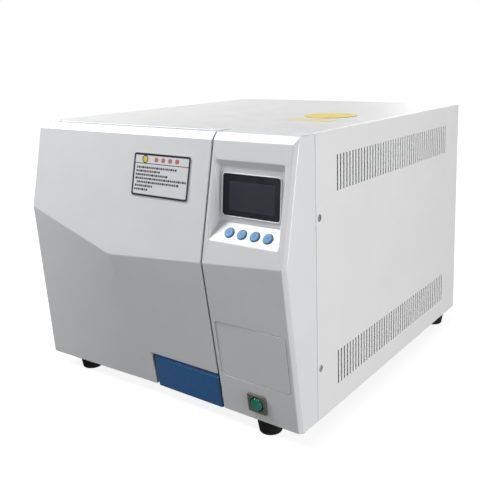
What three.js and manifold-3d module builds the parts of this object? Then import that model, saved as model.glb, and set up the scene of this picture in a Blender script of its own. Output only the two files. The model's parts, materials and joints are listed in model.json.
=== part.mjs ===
// Benchtop autoclave, in millimetres. +Z is up, the front faces -Y, and +X is right seen from the front.
// The origin is at the centre of the bounding box's bottom, on the surface that the feet stand on.
import * as THREE from 'three';
import { ConvexGeometry } from 'three/addons/geometries/ConvexGeometry.js';
import { mergeGeometries, mergeVertices } from 'three/addons/utils/BufferGeometryUtils.js';
import Module from 'manifold-3d';

const wasm = await Module();
wasm.setup();

// ---- driving dimensions ----
const WIDTH = 480;
const DEPTH = 575;
const HEIGHT = 400;
const FOOT_HEIGHT = 20;
const GAP = 0.3;
const SHEET = 1.5;
const MOULD = 3;
const SIDE = WIDTH / 2;
const FRONT = -DEPTH / 2;
const BACK = DEPTH / 2;
const REAR_SHEET_Y = BACK - 13;
const ROOF_Z = HEIGHT - 0.8;
const FLOOR_Z = FOOT_HEIGHT;

// front mouldings: an upper facet and a lower facet meet at a fold
const SEAM_Y = FRONT + 76;
const KNEE_Y = FRONT + 36;
const FACE_TOP = { y: FRONT + 35.5, z: HEIGHT - 11 };
const BEVEL_TOP = { y: FRONT + 44, z: HEIGHT - 2 };
const VERTEX = { x: -59, y: FRONT, z: 221 };
const UPPER_SLOPE = (FACE_TOP.y - VERTEX.y) / (FACE_TOP.z - VERTEX.z);
const FOLD_RISE = 0.08;
const LEFT_FOLD_Z = 268.5;
const CORNER = 5;
const LEFT_CORNER = 1.5;
const LEFT_FOOT_Y = FRONT + 27;
const SPLIT_X = 112.8;
const SPLIT_GAP = 2.4;
const DOOR_RIGHT = SPLIT_X - SPLIT_GAP / 2;
const COLUMN_LEFT = SPLIT_X + SPLIT_GAP / 2;
const DOOR_BACK = FRONT + 50;
const FRAME_FRONT = FRONT + 52;
const FACET_FOOT_X = -30;
const FACET_STEPS = 6;
const BEND_RADIUS = 3;
const COLUMN_CENTRE_X = 176;

// pressure chamber
const CHAMBER = { x: -65, z: 220, radius: 125, wall: 3, front: FRONT + 57.5, back: 205 };
const FLANGE = { radius: 144, depth: 8 };
const JACKET_RADIUS = 148;
const HEATER = { front: -110, back: 90, depth: 2 };
const SADDLE = { half: 105, sheet: 5, toe: 26, top: 150, places: [-150, 90] };
const TRAY = { width: 160, height: 18, wall: 1, front: CHAMBER.front + 22, back: 160, floors: [-62, -6, 50] };
const TRAY_SLOT = { rows: 6, start: 34, pitch: 58, length: 50, width: 6, columns: [-52, 2] };
const RACK = { half: 86, sheet: 1.5, low: -88, high: 72, rail: 12, window: 110, windowHeight: 38 };

// door hinge and handle
const HINGE = { x: -228, y: FRONT + 58, pin: 4, eye: 8, sweep: 13, low: 70, high: 370 };
const BRACKET = { left: HINGE.x + 2, right: HINGE.x + 12, low: 74, high: 366 };
const YOKE = {
  front: DOOR_BACK - 24, back: DOOR_BACK - 14, half: 22, right: 70, low: 92, high: 348, knuckle: 20,
};
const PLATE = { face: CHAMBER.front - 2.6, rim: 5.4, groove: 2.4, radius: 140 };
const DOOR_LABEL = { x: 28, z: 336, width: 105, height: 60, corner: 4 };
const NOTCH = { left: -14, top: 72.5 };
const PADDLE = {
  left: NOTCH.left + 4, right: DOOR_RIGHT - 0.6, top: NOTCH.top - 2.5, low: FLOOR_Z - 1.5, wall: 4,
};
const HANDLE_AXIS = { y: FRONT + 37.5, z: 64, pin: 2.5 };
const HOOK = { left: 84, right: 92, reach: 28, low: 59, high: 69 };
const KEEPER = { left: 74, right: 102, y: FRONT + 56.5, z: 73, roller: 3.2, lug: 4 };
const POCKET = { left: 0, right: 106, top: 81, back: FRONT + 72 };

// control column
const BAY = { left: 120, right: 228, top: 365, bottom: 265, corner: 4, draft: 4.5 };
const PANEL = { top: 356.5, low: 286.5, depthTop: 6, depthLow: 15, corner: 2.5 };
const WINDOW = { x: 174, z: 321.5, width: 88, height: 52.5, rim: 1.6 };
const BUTTON = { radius: 6.8, stand: 2, length: 11, stem: 4 };
const BUTTON_X = [148, 167.7, 187.4, 207.1];
const SWITCH = { x: 174.5, z: 46.5, width: 29.5, height: 27, radius: 9.1 };
const COVER_PLATE = { x: 174.5, z: 115, width: 111, height: 81, corner: 6, gap: 0.4 };
const LOCK = { y: FRONT + 38, z: 120, pin: 4, slot: 4.8 };

// ventilation slots on both side walls
const SLOT = { count: 46, pitch: 8.25, width: 2.8, start: FRONT + 128, rows: [[319, 366], [51, 99]] };

// feet, screws and the fittings on the rear sheet
const FOOT = { top: 18, low: 15.5, front: [179, FRONT + 54], back: [219, BACK - 59.5] };
const SIDE_SCREW = { radius: 4.2, seat: 4.6, y: SEAM_Y + 8, heights: [292, 91] };
const STICKER = { x: 144, y: FRONT + 275.5, radius: 40 };
const PANEL_Y = REAR_SHEET_Y - 3;
const FAN = { x: 165, z: 212, radius: 42, size: 92, depth: 25, blades: 7, hub: 17 };
const GRILLE = { pitch: 9, width: 5, rows: 4 };
const INLET = { x: 185, z: 62, width: 28, height: 23, flange: 10 };
const SPIGOT = { x: -185, z: 55 };
const RELIEF = { x: -65, z: 330 };

// tank, pump, pipes and boards inside the case
const TANK = { left: 96, right: 222, front: -30, back: 110, low: 236, high: 385, wall: 3 };
const FILLER = { x: 150, y: 40, radius: 18, bore: 14, top: 393 };
const PUMP = { x: 165, z: 66, radius: 32, front: -40, back: 108 };
const CONDENSER = { left: 112, right: 218, front: 186, back: 228, fins: 8, pitch: 13, fin: 2.5 };
const VALVES = { left: -130, right: -10, y: 231, low: 90, high: 160, places: [-115, -70, -25] };
const FILTER = { x: -190, z: 150, radius: 24, spout: 6 };
const BOARD = { front: -190, back: -50, low: 150, high: 330, right: 230, rows: 4, columns: 3, pitch: 42 };
const SUPPLY = { left: 128, right: 222, front: -180, back: -60, top: 78 };

const upperFacetY = (z) => FACE_TOP.y - (FACE_TOP.z - z) * UPPER_SLOPE;
const foldZ = (x) => VERTEX.z + (x - VERTEX.x) * FOLD_RISE;
const LOWER_SLOPE = (KNEE_Y - upperFacetY(foldZ(COLUMN_CENTRE_X))) / (foldZ(COLUMN_CENTRE_X) - FLOOR_Z);
const lowerFacetY = (z) => KNEE_Y - (z - FLOOR_Z) * LOWER_SLOPE;
const UPPER_TILT = -Math.atan(UPPER_SLOPE);
const LOWER_TILT = Math.atan(LOWER_SLOPE);
const PANEL_TOP = { y: upperFacetY(PANEL.top) + PANEL.depthTop, z: PANEL.top };
const PANEL_LOW = { y: upperFacetY(PANEL.low) + PANEL.depthLow, z: PANEL.low };
const LEDGE_LOW = { y: upperFacetY(BAY.bottom), z: BAY.bottom };
const PANEL_TILT = -Math.atan2(PANEL_TOP.y - PANEL_LOW.y, PANEL_TOP.z - PANEL_LOW.z);
const panelY = (z) => PANEL_LOW.y - (z - PANEL_LOW.z) * Math.tan(PANEL_TILT);
const LEDGE_TILT = -Math.atan2(PANEL_LOW.y - LEDGE_LOW.y, PANEL_LOW.z - LEDGE_LOW.z);
const LEDGE_MIDDLE = [(LEDGE_LOW.y + PANEL_LOW.y) / 2, (LEDGE_LOW.z + PANEL_LOW.z) / 2];

// ---- materials ----
function finish(color, roughness, metalness) {
  return new THREE.MeshStandardMaterial({ color, roughness, metalness });
}

const WHITE_MOULDING = finish(0xe4e6e6, 0.45, 0);
const WHITE_PAINT = finish(0xe8eae9, 0.5, 0.1);
const GREY_PLASTIC = finish(0x73716a, 0.5, 0);
const BLUE_PLASTIC = finish(0x265080, 0.35, 0);
const BUTTON_BLUE = finish(0x73aadc, 0.35, 0);
const GREEN_LENS = finish(0x287d64, 0.3, 0);
const DARK_GLASS = finish(0x23262e, 0.15, 0);
const LABEL_WHITE = finish(0xf2f2f0, 0.5, 0);
const AMBER_FILM = finish(0xe0a93a, 0.5, 0);
const BLACK_RUBBER = finish(0x111111, 0.8, 0);
const BLACK_PLASTIC = finish(0x1b1c1e, 0.55, 0);
const SILICONE = finish(0xd8d4c8, 0.6, 0);
const STAINLESS = finish(0xb9bcbf, 0.3, 1);
const ZINC_STEEL = finish(0xa9abad, 0.4, 1);
const BRASS = finish(0xb89a52, 0.35, 1);
const COPPER = finish(0xb8734a, 0.35, 1);
const INSULATION = finish(0xc9c2ae, 0.95, 0);
const CIRCUIT_GREEN = finish(0x1f5a3a, 0.6, 0);
const TANK_PLASTIC = finish(0xd6dadc, 0.4, 0);

// ---- geometry helpers ----
function outward(geometry) {
  const position = geometry.attributes.position;
  const index = geometry.index.array;
  const [a, b, c] = [new THREE.Vector3(), new THREE.Vector3(), new THREE.Vector3()];
  let volume = 0;
  for (let i = 0; i < index.length; i += 3) {
    a.fromBufferAttribute(position, index[i]);
    b.fromBufferAttribute(position, index[i + 1]);
    c.fromBufferAttribute(position, index[i + 2]);
    volume += a.dot(b.cross(c));
  }
  if (volume < 0) {
    for (let i = 0; i < index.length; i += 3) {
      [index[i], index[i + 1]] = [index[i + 1], index[i]];
    }
  }
  return geometry;
}

function welded(geometry) {
  const copy = geometry.clone();
  copy.deleteAttribute('normal');
  copy.deleteAttribute('uv');
  return outward(mergeVertices(copy, 1e-4));
}

function solid(geometry) {
  const mesh = welded(geometry);
  const vertProperties = new Float32Array(mesh.attributes.position.array);
  const triVerts = new Uint32Array(mesh.index.array);
  return new wasm.Manifold(new wasm.Mesh({ numProp: 3, vertProperties, triVerts }));
}

function shapeOf(manifold) {
  const mesh = manifold.getMesh();
  const geometry = new THREE.BufferGeometry();
  geometry.setAttribute('position', new THREE.BufferAttribute(new Float32Array(mesh.vertProperties), 3));
  geometry.setIndex(new THREE.BufferAttribute(new Uint32Array(mesh.triVerts), 1));
  return geometry;
}

function join(first, ...others) {
  return shapeOf(others.reduce((sum, other) => sum.add(solid(other)), solid(first)));
}

function cut(body, ...tools) {
  return shapeOf(tools.reduce((rest, tool) => rest.subtract(solid(tool)), solid(body)));
}

function common(first, second) {
  return shapeOf(solid(first).intersect(solid(second)));
}

function block(x0, x1, y0, y1, z0, z1) {
  const geometry = new THREE.BoxGeometry(x1 - x0, y1 - y0, z1 - z0);
  return geometry.translate((x0 + x1) / 2, (y0 + y1) / 2, (z0 + z1) / 2);
}

function turnedTo(geometry, axis) {
  if (axis === 'x') return geometry.rotateZ(-Math.PI / 2);
  if (axis === 'z') return geometry.rotateX(Math.PI / 2);
  return geometry;
}

function rod(axis, radius, from, to, centre, segments = 18) {
  const geometry = turnedTo(new THREE.CylinderGeometry(radius, radius, to - from, segments), axis);
  const middle = new THREE.Vector3(...centre);
  middle[axis] = (from + to) / 2;
  return geometry.translate(middle.x, middle.y, middle.z);
}

function turned(profile, segments = 32) {
  const points = profile.map(([radius, along]) => new THREE.Vector2(radius, along));
  return welded(new THREE.LatheGeometry(points, segments));
}

function outline(points) {
  return new THREE.Shape(points.map(([u, v]) => new THREE.Vector2(u, v)));
}

function roundedOutline(width, height, radius) {
  const [w, h] = [width / 2, height / 2];
  const shape = new THREE.Shape();
  shape.moveTo(-w + radius, -h);
  shape.lineTo(w - radius, -h);
  shape.absarc(w - radius, -h + radius, radius, -Math.PI / 2, 0);
  shape.absarc(w - radius, h - radius, radius, 0, Math.PI / 2);
  shape.absarc(-w + radius, h - radius, radius, Math.PI / 2, Math.PI);
  shape.absarc(-w + radius, -h + radius, radius, Math.PI, Math.PI * 1.5);
  return shape;
}

function extruded(shape, length) {
  return new THREE.ExtrudeGeometry(shape, { depth: length, bevelEnabled: false, curveSegments: 5 });
}

// a [y, z] outline swept from x0 to x1
function sweptX(points, x0, x1) {
  const basis = new THREE.Matrix4().makeBasis(
    new THREE.Vector3(0, 1, 0), new THREE.Vector3(0, 0, 1), new THREE.Vector3(1, 0, 0));
  return extruded(outline(points), x1 - x0).applyMatrix4(basis).translate(x0, 0, 0);
}

// an [x, z] shape swept from y0 to y1
function sweptY(shape, y0, y1) {
  return extruded(shape, y1 - y0).rotateX(Math.PI / 2).translate(0, y1, 0);
}

function tilted(geometry, tilt, x, y, z) {
  return geometry.rotateX(tilt).translate(x, y, z);
}

// a rounded plate that lies in the XZ plane and is then tilted back; depths run along its own +Y
function facePlate(width, height, radius, from, to, tilt, place) {
  return tilted(sweptY(roundedOutline(width, height, radius), from, to), tilt, ...place);
}

function onWindow(margin, radius, from, to) {
  const place = [WINDOW.x, panelY(WINDOW.z), WINDOW.z];
  return facePlate(WINDOW.width + margin, WINDOW.height + margin, radius, from, to, PANEL_TILT, place);
}

// a rounded plate on the lower facet, centred on a feature and grown by a margin
function onLowerFacet({ x, z, width, height }, margin, radius, from, to) {
  const place = [x, lowerFacetY(z), z];
  return facePlate(width + margin, height + margin, radius, from, to, LOWER_TILT, place);
}

const group = new THREE.Group();

function add(name, geometry, material, place = null) {
  const mesh = new THREE.Mesh(welded(geometry), material);
  mesh.name = name;
  if (place) mesh.position.set(...place);
  group.add(mesh);
  return mesh;
}

// ---- faceted fronts ----
function between(a, b, t) {
  return a.map((value, i) => value + (b[i] - value) * t);
}

function edge(a, b, steps) {
  return Array.from({ length: steps }, (_, i) => between(a, b, i / steps));
}

// a facet with straight edges; its corners and edge points run round it once
function flatFacet(points) {
  const contour = points.map(([x, , z]) => new THREE.Vector2(x, z));
  return THREE.ShapeUtils.triangulateShape(contour, []).map((face) => face.map((i) => points[i]));
}

// a slightly twisted facet between two straight edges, low to high on the left and on the right
function twistedFacet([lowLeft, highLeft], [lowRight, highRight], steps) {
  const faces = [];
  const at = (i, j) => between(
    between(lowLeft, highLeft, j / steps), between(lowRight, highRight, j / steps), i / steps);
  for (let i = 0; i < steps; i += 1) {
    for (let j = 0; j < steps; j += 1) {
      faces.push([at(i, j), at(i + 1, j), at(i + 1, j + 1)], [at(i, j), at(i + 1, j + 1), at(i, j + 1)]);
    }
  }
  return faces;
}

// the closed body between front facets and a flat back
function relief(faces, back) {
  const key = (point) => point.map((value) => value.toFixed(3)).join();
  const behind = ([x, , z]) => [x, back, z];
  const openEdges = new Map();
  for (const face of faces) {
    face.forEach((start, i) => {
      const end = face[(i + 1) % 3];
      if (!openEdges.delete(key(end) + key(start))) openEdges.set(key(start) + key(end), [start, end]);
    });
  }
  const all = [...faces, ...faces.map(([a, b, c]) => [behind(a), behind(c), behind(b)])];
  for (const [a, b] of openEdges.values()) all.push([b, a, behind(a)], [b, behind(a), behind(b)]);
  const geometry = new THREE.BufferGeometry();
  geometry.setAttribute('position', new THREE.Float32BufferAttribute(all.flat(2), 3));
  return geometry;
}

const counterClockwise = (faces) => faces.map(([a, b, c]) => {
  const area = (b[0] - a[0]) * (c[2] - a[2]) - (c[0] - a[0]) * (b[2] - a[2]);
  return area > 0 ? [a, b, c] : [a, c, b];
});

function doorBody(inset) {
  const left = -SIDE + inset;
  const right = DOOR_RIGHT - inset;
  const low = FLOOR_Z + inset;
  const high = FACE_TOP.z - inset / 2;
  const roof = BEVEL_TOP.z - inset;
  const at = (x, y, z) => [x, y + inset, z];
  const topLeft = at(left + LEFT_CORNER, upperFacetY(high), high);
  const topRight = at(right, upperFacetY(high), high);
  const foldLeft = at(left + LEFT_CORNER, upperFacetY(LEFT_FOLD_Z), LEFT_FOLD_Z);
  const foldRight = at(right, upperFacetY(foldZ(right)), foldZ(right));
  const peak = at(VERTEX.x, VERTEX.y, VERTEX.z);
  const footLeft = at(left + LEFT_CORNER, LEFT_FOOT_Y, low);
  const footMiddle = at(FACET_FOOT_X, KNEE_Y, low);
  const footRight = at(right, KNEE_Y, low);
  const [roofLeft, roofRight] = [[left, BEVEL_TOP.y, roof], [right, BEVEL_TOP.y, roof]];
  const sideFold = [left, foldLeft[1] + LEFT_CORNER, LEFT_FOLD_Z];
  const sideTop = [left, topLeft[1] + LEFT_CORNER, high];
  const sideFoot = [left, footLeft[1] + LEFT_CORNER, low];
  const leftEdge = edge(foldLeft, footLeft, FACET_STEPS);
  const leftFold = edge(foldLeft, peak, FACET_STEPS);
  const rightFold = edge(peak, foldRight, FACET_STEPS);
  const faces = [
    ...flatFacet([topLeft, ...leftFold, ...rightFold, foldRight, topRight]),
    ...twistedFacet([footLeft, foldLeft], [footMiddle, peak], FACET_STEPS),
    ...twistedFacet([footMiddle, peak], [footRight, foldRight], FACET_STEPS),
    ...flatFacet([topLeft, topRight, roofRight, roofLeft]),
    ...flatFacet([roofLeft, sideTop, topLeft]),
    ...flatFacet([sideTop, sideFold, foldLeft, topLeft]),
    ...flatFacet([sideFold, sideFoot, footLeft, ...leftEdge.reverse()]),
  ];
  return relief(counterClockwise(faces), DOOR_BACK + inset);
}

function doorCover() {
  const shell = cut(doorBody(0), doorBody(MOULD));
  const wallRoom = block(NOTCH.left - MOULD, SIDE, FRONT, BACK, 0, NOTCH.top + MOULD);
  const notchWalls = common(doorBody(0), wallRoom);
  const notch = block(NOTCH.left, SIDE, FRONT - 1, BACK, 0, NOTCH.top);
  const hingeEdge = block(-SIDE, -SIDE + MOULD, DOOR_BACK - 2, HINGE.y - 1.5, FLOOR_Z, BEVEL_TOP.z);
  return cut(join(shell, notchWalls, hingeEdge), notch, boltSlot(DOOR_RIGHT - MOULD - 1, SIDE));
}

// the square hole that the lock bolt enters
function boltSlot(x0, x1) {
  return block(x0, x1, LOCK.y - LOCK.slot, LOCK.y + LOCK.slot, LOCK.z - LOCK.slot, LOCK.z + LOCK.slot);
}

function doorLiner() {
  const left = HINGE.x + 19;
  const right = DOOR_RIGHT - MOULD - GAP;
  const [low, high] = [FLOOR_Z + MOULD + GAP, BEVEL_TOP.z - MOULD - GAP];
  const sheet = block(left, right, DOOR_BACK - 2, DOOR_BACK, low, high);
  const plateHole = rod('y', PLATE.radius + 1, FRONT, 0, [CHAMBER.x, 0, CHAMBER.z], 48);
  const notchHole = block(NOTCH.left - MOULD - GAP, SIDE, FRONT, 0, 0, NOTCH.top + MOULD + GAP);
  return cut(sheet, plateHole, notchHole);
}

// a dished pressure plate with a groove for the gasket
function doorPlate() {
  const { face, radius, groove } = PLATE;
  const rim = face - PLATE.rim;
  const front = [[0, rim - 12], [50, rim - 10.5], [95, rim - 6], [118, rim], [radius, rim]];
  const seat = [[radius, face], [137, face], [137, face - groove], [126, face - groove], [126, face]];
  const dish = [[118, face], [94, face - 6], [50, face - 9.5], [0, face - 11]];
  return turned([...front, ...seat, ...dish], 36);
}

function doorGasket() {
  const face = CHAMBER.front - GAP;
  const back = PLATE.face - PLATE.groove + GAP;
  const section = [
    [127, back], [136, back], [136, face - 1], [134, face], [129, face], [127, face - 1], [127, back],
  ];
  return turned(section, 36);
}

// the yoke carries the pressure plate and ends in two eyes on the hinge pin
function doorYoke() {
  const { front, back, half, low, high } = YOKE;
  const [strapLeft, strapRight] = [HINGE.x + 9, HINGE.x + 17];
  const bar = block(strapLeft, YOKE.right, front, back, CHAMBER.z - half, CHAMBER.z + half);
  const bracket = block(strapLeft, strapRight, front, DOOR_BACK, CHAMBER.z - half, CHAMBER.z + half);
  const strap = block(strapLeft, strapRight, DOOR_BACK - 12, DOOR_BACK + 1, low, high);
  const knuckles = [low, high - YOKE.knuckle].flatMap((z) => [
    block(HINGE.x, strapLeft + 2, DOOR_BACK - 2, HINGE.y + 3, z, z + YOKE.knuckle),
    rod('z', HINGE.eye, z, z + YOKE.knuckle, [HINGE.x, HINGE.y, 0]),
  ]);
  const stud = rod('y', 9, back - 1, CHAMBER.front - 20 - GAP, [CHAMBER.x, 0, CHAMBER.z]);
  const bore = rod('z', HINGE.pin + 0.25, 0, HEIGHT, [HINGE.x, HINGE.y, 0]);
  return cut(join(bar, bracket, strap, ...knuckles, stud), bore);
}

// four eyes on the hinge pin, a pair round each knuckle of the yoke
function hingeBracket() {
  const { left, right, low, high } = BRACKET;
  const spine = block(left, right, HINGE.y + HINGE.sweep + GAP - 1, SEAM_Y - 1, low, high);
  const eyes = [[low, YOKE.low - 0.5], [YOKE.high + 0.5, high]];
  const inner = YOKE.knuckle + 0.5;
  eyes.push([YOKE.low + inner, YOKE.low + inner + 17.5], [YOKE.high - inner - 17.5, YOKE.high - inner]);
  const arms = eyes.map(([z0, z1]) => {
    const eye = rod('z', HINGE.eye, z0, z1, [HINGE.x, HINGE.y, 0]);
    const arm = block(left, HINGE.x + HINGE.eye, HINGE.y, HINGE.y + HINGE.sweep + 3, z0, z1);
    return join(eye, arm);
  });
  const bore = rod('z', HINGE.pin + 0.3, 0, HEIGHT, [HINGE.x, HINGE.y, 0]);
  return cut(join(spine, ...arms), bore);
}

// the fixed rim behind the door: it holds the hinge and has a pocket for the latch
function frontFrame() {
  const [left, right, back] = [-SIDE, DOOR_RIGHT, SEAM_Y - GAP];
  const outer = block(left, right, FRAME_FRONT, back, FLOOR_Z, ROOF_Z);
  const hollow = block(
    left + MOULD, right - MOULD, FRAME_FRONT + 4, SEAM_Y + 5, FLOOR_Z + MOULD, ROOF_Z - MOULD);
  const hingePost = block(left, HINGE.x + 18, FRAME_FRONT, back, FLOOR_Z, ROOF_Z);
  const { top, back: pocketBack } = POCKET;
  const pocketWalls = block(
    POCKET.left - MOULD, right, FRAME_FRONT, pocketBack + MOULD, FLOOR_Z, top + MOULD);
  const pocket = block(POCKET.left, POCKET.right, FRAME_FRONT - 1, pocketBack, FLOOR_Z - 1, top);
  const mouth = rod('y', FLANGE.radius + 2, FRAME_FRONT - 1, SEAM_Y + 1, [CHAMBER.x, 0, CHAMBER.z], 48);
  const rebate = rod('z', HINGE.sweep, 0, HEIGHT, [HINGE.x, HINGE.y, 0]);
  const relieved = block(left - 1, HINGE.x, FRAME_FRONT - 1, HINGE.y + 15.5, 0, HEIGHT);
  const bracketSlot = block(
    BRACKET.left - GAP, BRACKET.right + GAP, HINGE.y, BACK, BRACKET.low - GAP, BRACKET.high + GAP);
  const rim = join(cut(outer, hollow), hingePost, pocketWalls);
  return cut(rim, pocket, mouth, rebate, relieved, bracketSlot);
}

function columnBody(inset) {
  const left = COLUMN_LEFT + inset;
  const right = SIDE - inset;
  const low = FLOOR_Z + inset;
  const high = FACE_TOP.z - inset / 2;
  const ridge = right - CORNER;
  const corner = (x, y, z) => [x, y + inset, z];
  const topLeft = corner(left, upperFacetY(high), high);
  const topRight = corner(ridge, upperFacetY(high), high);
  const foldLeft = corner(left, upperFacetY(foldZ(left)), foldZ(left));
  const foldRight = corner(ridge, upperFacetY(foldZ(ridge)), foldZ(ridge));
  const footLeft = corner(left, KNEE_Y, low);
  const footRight = corner(ridge, KNEE_Y, low);
  const bevelZ = BEVEL_TOP.z - inset;
  const [bevelLeft, bevelRight] = [[left, BEVEL_TOP.y, bevelZ], [right, BEVEL_TOP.y, bevelZ]];
  const side = ([, y, z]) => [right, y + CORNER, z];
  const rightEdge = edge(foldRight, footRight, FACET_STEPS);
  const faces = [
    ...flatFacet([topLeft, ...edge(foldLeft, foldRight, FACET_STEPS), foldRight, topRight]),
    ...twistedFacet([footLeft, foldLeft], [footRight, foldRight], FACET_STEPS),
    ...flatFacet([topLeft, topRight, bevelRight, bevelLeft]),
    ...flatFacet([topRight, side(topRight), bevelRight]),
    ...flatFacet([side(topRight), topRight, foldRight, side(foldRight)]),
    ...flatFacet([side(foldRight), ...rightEdge, footRight, side(footRight)]),
  ];
  const back = SEAM_Y - GAP + inset;
  const band = sweptX([
    [BEVEL_TOP.y - 1, low], [BEVEL_TOP.y - 1, bevelZ - 1], [BEVEL_TOP.y, bevelZ],
    [back, ROOF_Z - inset], [back, low],
  ], left, right);
  return join(relief(counterClockwise(faces), BEVEL_TOP.y + 3), band);
}

// the outline of a rectangle with round corners between two heights, pressed onto a sloping face
function outlineOn(left, right, low, high, radius, faceY) {
  const [x, z] = [(left + right) / 2, (low + high) / 2];
  return roundedOutline(right - left, high - low, radius).getPoints(3)
    .map((point) => new THREE.Vector3(x + point.x, faceY(z + point.y), z + point.y));
}

// the control bay: drafted sides, a sunk panel for the window and a sloping ledge for the buttons
function bayRecess() {
  const { left, right, top, bottom, corner, draft } = BAY;
  const panel = outlineOn(left + draft, right - draft, PANEL.low, PANEL.top, PANEL.corner, panelY);
  const mouth = outlineOn(left, right, bottom, top, corner, upperFacetY);
  const before = outlineOn(left, right, bottom, top, corner, () => FRONT - 9);
  return new ConvexGeometry([...panel, ...mouth, ...before]);
}

function ledgeRod(radius, from, to, x) {
  return tilted(rod('y', radius, from, to, [0, 0, 0]), LEDGE_TILT, x, ...LEDGE_MIDDLE);
}

function controlColumn() {
  const shell = cut(columnBody(0), columnBody(MOULD));
  const bayRoom = block(BAY.left - 5, SIDE, FRONT, PANEL_TOP.y + 8, BAY.bottom - 9, BAY.top + 6);
  const bayWalls = common(columnBody(0), bayRoom);
  const body = join(cut(join(shell, bayWalls), bayRecess()), onWindow(2 * WINDOW.rim, 5.5, -0.7, 3));
  const windowSeat = onWindow(0.8, 4, -5, 1.4);
  const windowHole = onWindow(-12, 2, -5, 40);
  const buttonHoles = BUTTON_X.map((x) => ledgeRod(BUTTON.radius + 0.4, -8, 60, x));
  const plateHole = onLowerFacet(COVER_PLATE, 0, COVER_PLATE.corner, -9, 9);
  const switchHole = onLowerFacet(SWITCH, -4, 1, -9, 9);
  const boltHole = boltSlot(COLUMN_LEFT - 1, COLUMN_LEFT + MOULD + 1);
  return cut(body, windowSeat, windowHole, ...buttonHoles, plateHole, switchHole, boltHole);
}

function addFrontMouldings() {
  add('front_frame', frontFrame(), WHITE_MOULDING);
  add('control_column', controlColumn(), WHITE_MOULDING);
  add('display_window', onWindow(0, 3.6, -0.6, 1.1), DARK_GLASS);
  const layers = [onWindow(-14, 1, 1.5, 9), onWindow(-20, 1, 8, 18), onWindow(8, 1, 17, 19)];
  add('display_module', join(...layers), CIRCUIT_GREEN);
  const { corner, gap } = COVER_PLATE;
  add('service_cover', onLowerFacet(COVER_PLATE, -2 * gap, corner - gap, 0.25, 3.25), WHITE_MOULDING);
}

// ---- door ----
function addDoor() {
  add('door_cover', doorCover(), WHITE_MOULDING);
  add('door_liner', doorLiner(), WHITE_PAINT);
  add('door_plate', doorPlate(), STAINLESS, [CHAMBER.x, 0, CHAMBER.z]);
  add('door_gasket', doorGasket(), SILICONE, [CHAMBER.x, 0, CHAMBER.z]);
  add('door_yoke', doorYoke(), ZINC_STEEL);
  add('hinge_bracket', hingeBracket(), ZINC_STEEL);
  add('hinge_pin', rod('z', HINGE.pin, HINGE.low, HINGE.high, [HINGE.x, HINGE.y, 0]), STAINLESS);
  const { x, z, width, height, corner } = DOOR_LABEL;
  const film = facePlate(width, height, corner, -0.3 - GAP, -GAP, UPPER_TILT, [x, upperFacetY(z), z]);
  add('door_label', film, LABEL_WHITE);
}

// ---- handle, latch and door lock ----
function handlePaddle() {
  const { left, right, top, low, wall } = PADDLE;
  const front = (z) => lowerFacetY(z) + 0.3;
  const plate = sweptX([
    [front(low), low], [front(low) + wall + 2, low], [front(40) + wall, 40], [front(58) + wall, 56],
    [front(58) + 8, 57], [front(58) + 8, top], [front(top) + 4.5, top], [front(top - 4.5), top - 4.5],
  ], left, right);
  const cheeks = [[2, 6], [98, 102]].map(([x0, x1]) => sweptX([
    [front(60) + 3, 57], [HANDLE_AXIS.y + 5, 57], [HANDLE_AXIS.y + 5, top - 1], [front(60) + 3, top - 1],
  ], x0, x1));
  const pinBore = rod('x', HANDLE_AXIS.pin + 0.1, -30, SIDE, [0, HANDLE_AXIS.y, HANDLE_AXIS.z]);
  const hookRoom = block(
    HOOK.left - GAP, HOOK.right + GAP, HANDLE_AXIS.y - 4.5, HANDLE_AXIS.y + 9, 50, 90);
  return cut(join(plate, ...cheeks), pinBore, hookRoom);
}

// the hook's nose clears the keeper roller, so that the door alone can be swung past it
function latchHook() {
  const { left, right, reach, low, high } = HOOK;
  const { y, z, pin } = HANDLE_AXIS;
  const arm = sweptX([
    [y - 4, low], [y + reach, low], [y + reach, high], [y + reach - 4, high], [y + reach - 6, high - 4],
    [y + 5, high - 4], [y + 4, high], [y - 4, high],
  ], left, right);
  return cut(arm, rod('x', pin + 0.1, left - 4, right + 4, [0, y, z]));
}

// a roller between two lugs that hang from the pocket's ceiling
function latchKeeper() {
  const { left, right, y, z, roller, lug } = KEEPER;
  const [low, high] = [z - roller - 0.1, POCKET.top - GAP];
  const axle = rod('x', roller, left + 2, right - 2, [0, y, z]);
  const lugs = [left, right - lug].map((x) => block(x, x + lug, y - 4, y + 12, low, high));
  const bridge = block(left, right, y + 7, y + 12, low + 0.8, high);
  return join(axle, ...lugs, bridge);
}

function addHandleAndLock() {
  const { y, z, pin } = HANDLE_AXIS;
  add('handle_paddle', handlePaddle(), BLUE_PLASTIC);
  add('handle_pin', rod('x', pin, NOTCH.left + GAP, DOOR_RIGHT - 4, [0, y, z], 16), STAINLESS);
  add('latch_hook', latchHook(), ZINC_STEEL);
  add('latch_keeper', latchKeeper(), ZINC_STEEL);
  const [start, end] = [COLUMN_LEFT + MOULD + GAP, COLUMN_LEFT + MOULD + 38];
  const coil = block(start, end, LOCK.y - 8.5, LOCK.y + 13, LOCK.z - 12, LOCK.z + 12);
  const bore = rod('x', LOCK.pin + 0.4, start - 1, end + 1, [0, LOCK.y, LOCK.z]);
  add('lock_solenoid', cut(coil, bore), ZINC_STEEL);
  const bolt = rod('x', LOCK.pin, COLUMN_LEFT + 0.8, end + 4, [0, LOCK.y, LOCK.z]);
  add('lock_pin', bolt, STAINLESS);
}

// ---- control buttons and mains switch ----
function button(x) {
  const { radius, stand, length, stem } = BUTTON;
  const cap = turned([
    [0, -stand], [radius - 1.2, -stand], [radius - 0.4, -stand + 0.3], [radius, -stand + 0.9], [radius, 4],
    [stem, 4], [stem, length], [0, length],
  ], 18);
  return tilted(cap, LEDGE_TILT, x, ...LEDGE_MIDDLE);
}

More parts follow.
